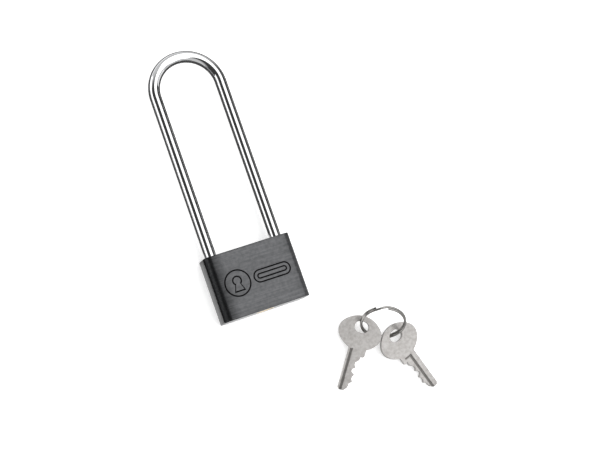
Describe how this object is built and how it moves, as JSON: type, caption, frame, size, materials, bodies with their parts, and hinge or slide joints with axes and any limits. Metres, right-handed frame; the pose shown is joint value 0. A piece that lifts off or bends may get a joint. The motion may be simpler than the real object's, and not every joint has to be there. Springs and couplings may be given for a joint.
{
  "type": "padlock",
  "caption": "Long-shackle pin-tumbler padlock with a satin grey block body, a polished round shackle, and flat keys on a split ring.",
  "frame": {"origin": "centre of the lock body's back face, on which the padlock lies", "axes": "+X across the two legs towards the short leg, +Y along the legs from the keyway towards the bow, +Z out of the engraved front face"},
  "size_m": [0.086, 0.177, 0.018],
  "materials": {
    "body_metal": "satin dark grey, finely brushed across",
    "shackle_chrome": "polished plated steel",
    "plug_brass": "turned brass",
    "latch_brass": "turned brass",
    "spring_steel": "drawn spring wire",
    "pin_steel": "ground steel",
    "ring_steel": "bright nickel-plated spring steel",
    "key_nickel": "satin nickel plate"
  },
  "bodies": {
    "lock": {"lock_body": "body_metal", "latch_bore_cap": "body_metal", "driver_pin_1": "pin_steel", "driver_pin_2": "pin_steel", "driver_pin_3": "pin_steel", "driver_pin_4": "pin_steel", "pin_spring_1": "spring_steel", "pin_spring_2": "spring_steel", "pin_spring_3": "spring_steel", "pin_spring_4": "spring_steel", "chamber_cap_1": "body_metal", "chamber_cap_2": "body_metal", "chamber_cap_3": "body_metal", "chamber_cap_4": "body_metal", "shackle_spring": "spring_steel", "shackle_retaining_pin": "pin_steel", "plug_retaining_pin": "pin_steel"},
    "shackle": {"shackle": "shackle_chrome"},
    "plug": {"plug": "plug_brass", "key_pin_1": "plug_brass", "key_pin_2": "plug_brass", "key_pin_3": "plug_brass", "key_pin_4": "plug_brass"},
    "latch_toe": {"latch_toe": "latch_brass"},
    "latch_heel": {"latch_heel": "latch_brass"},
    "key_ring": {"split_ring": "ring_steel"},
    "key_1": {"key_1": "key_nickel"},
    "key_2": {"key_2": "key_nickel"}
  },
  "joints": [
    {"name": "plug_turn", "type": "hinge", "parent": "lock", "child": "plug", "pos_m": [0, 0, 0.007], "axis": [0, 1, 0], "range_deg": [0, 90]},
    {"name": "shackle_lift", "type": "slide", "parent": "lock", "child": "shackle", "axis": [0, 1, 0], "range_m": [0, 0.013], "deforming": ["shackle_spring"]},
    {"name": "toe_latch_draw", "type": "slide", "parent": "lock", "child": "latch_toe", "axis": [-1, 0, 0], "range_m": [0, 0.0024]},
    {"name": "heel_latch_draw", "type": "slide", "parent": "lock", "child": "latch_heel", "axis": [1, 0, 0], "range_m": [0, 0.0024]},
    {"name": "key_set_lift", "type": "slide", "parent": "lock", "child": "key_ring", "axis": [0, 0, 1], "range_m": [0, 0.05]},
    {"name": "key_1_turn", "type": "hinge", "parent": "key_ring", "child": "key_1", "pos_m": [0.0486, -0.0362, 0.00901], "axis": [-0.3981, -0.7393, 0.5432], "range_deg": [-60, 0]},
    {"name": "key_2_turn", "type": "hinge", "parent": "key_ring", "child": "key_2", "pos_m": [0.0486, -0.0362, 0.00901], "axis": [-0.3981, -0.7393, 0.5432], "range_deg": [0, 60]}
  ],
  "couplings": [
    {"joint": "plug_turn", "follows": "shackle_lift", "rad_per_m": 120.83},
    {"joint": "toe_latch_draw", "follows": "shackle_lift", "ratio": 0.18461},
    {"joint": "heel_latch_draw", "follows": "shackle_lift", "ratio": 0.18461}
  ]
}
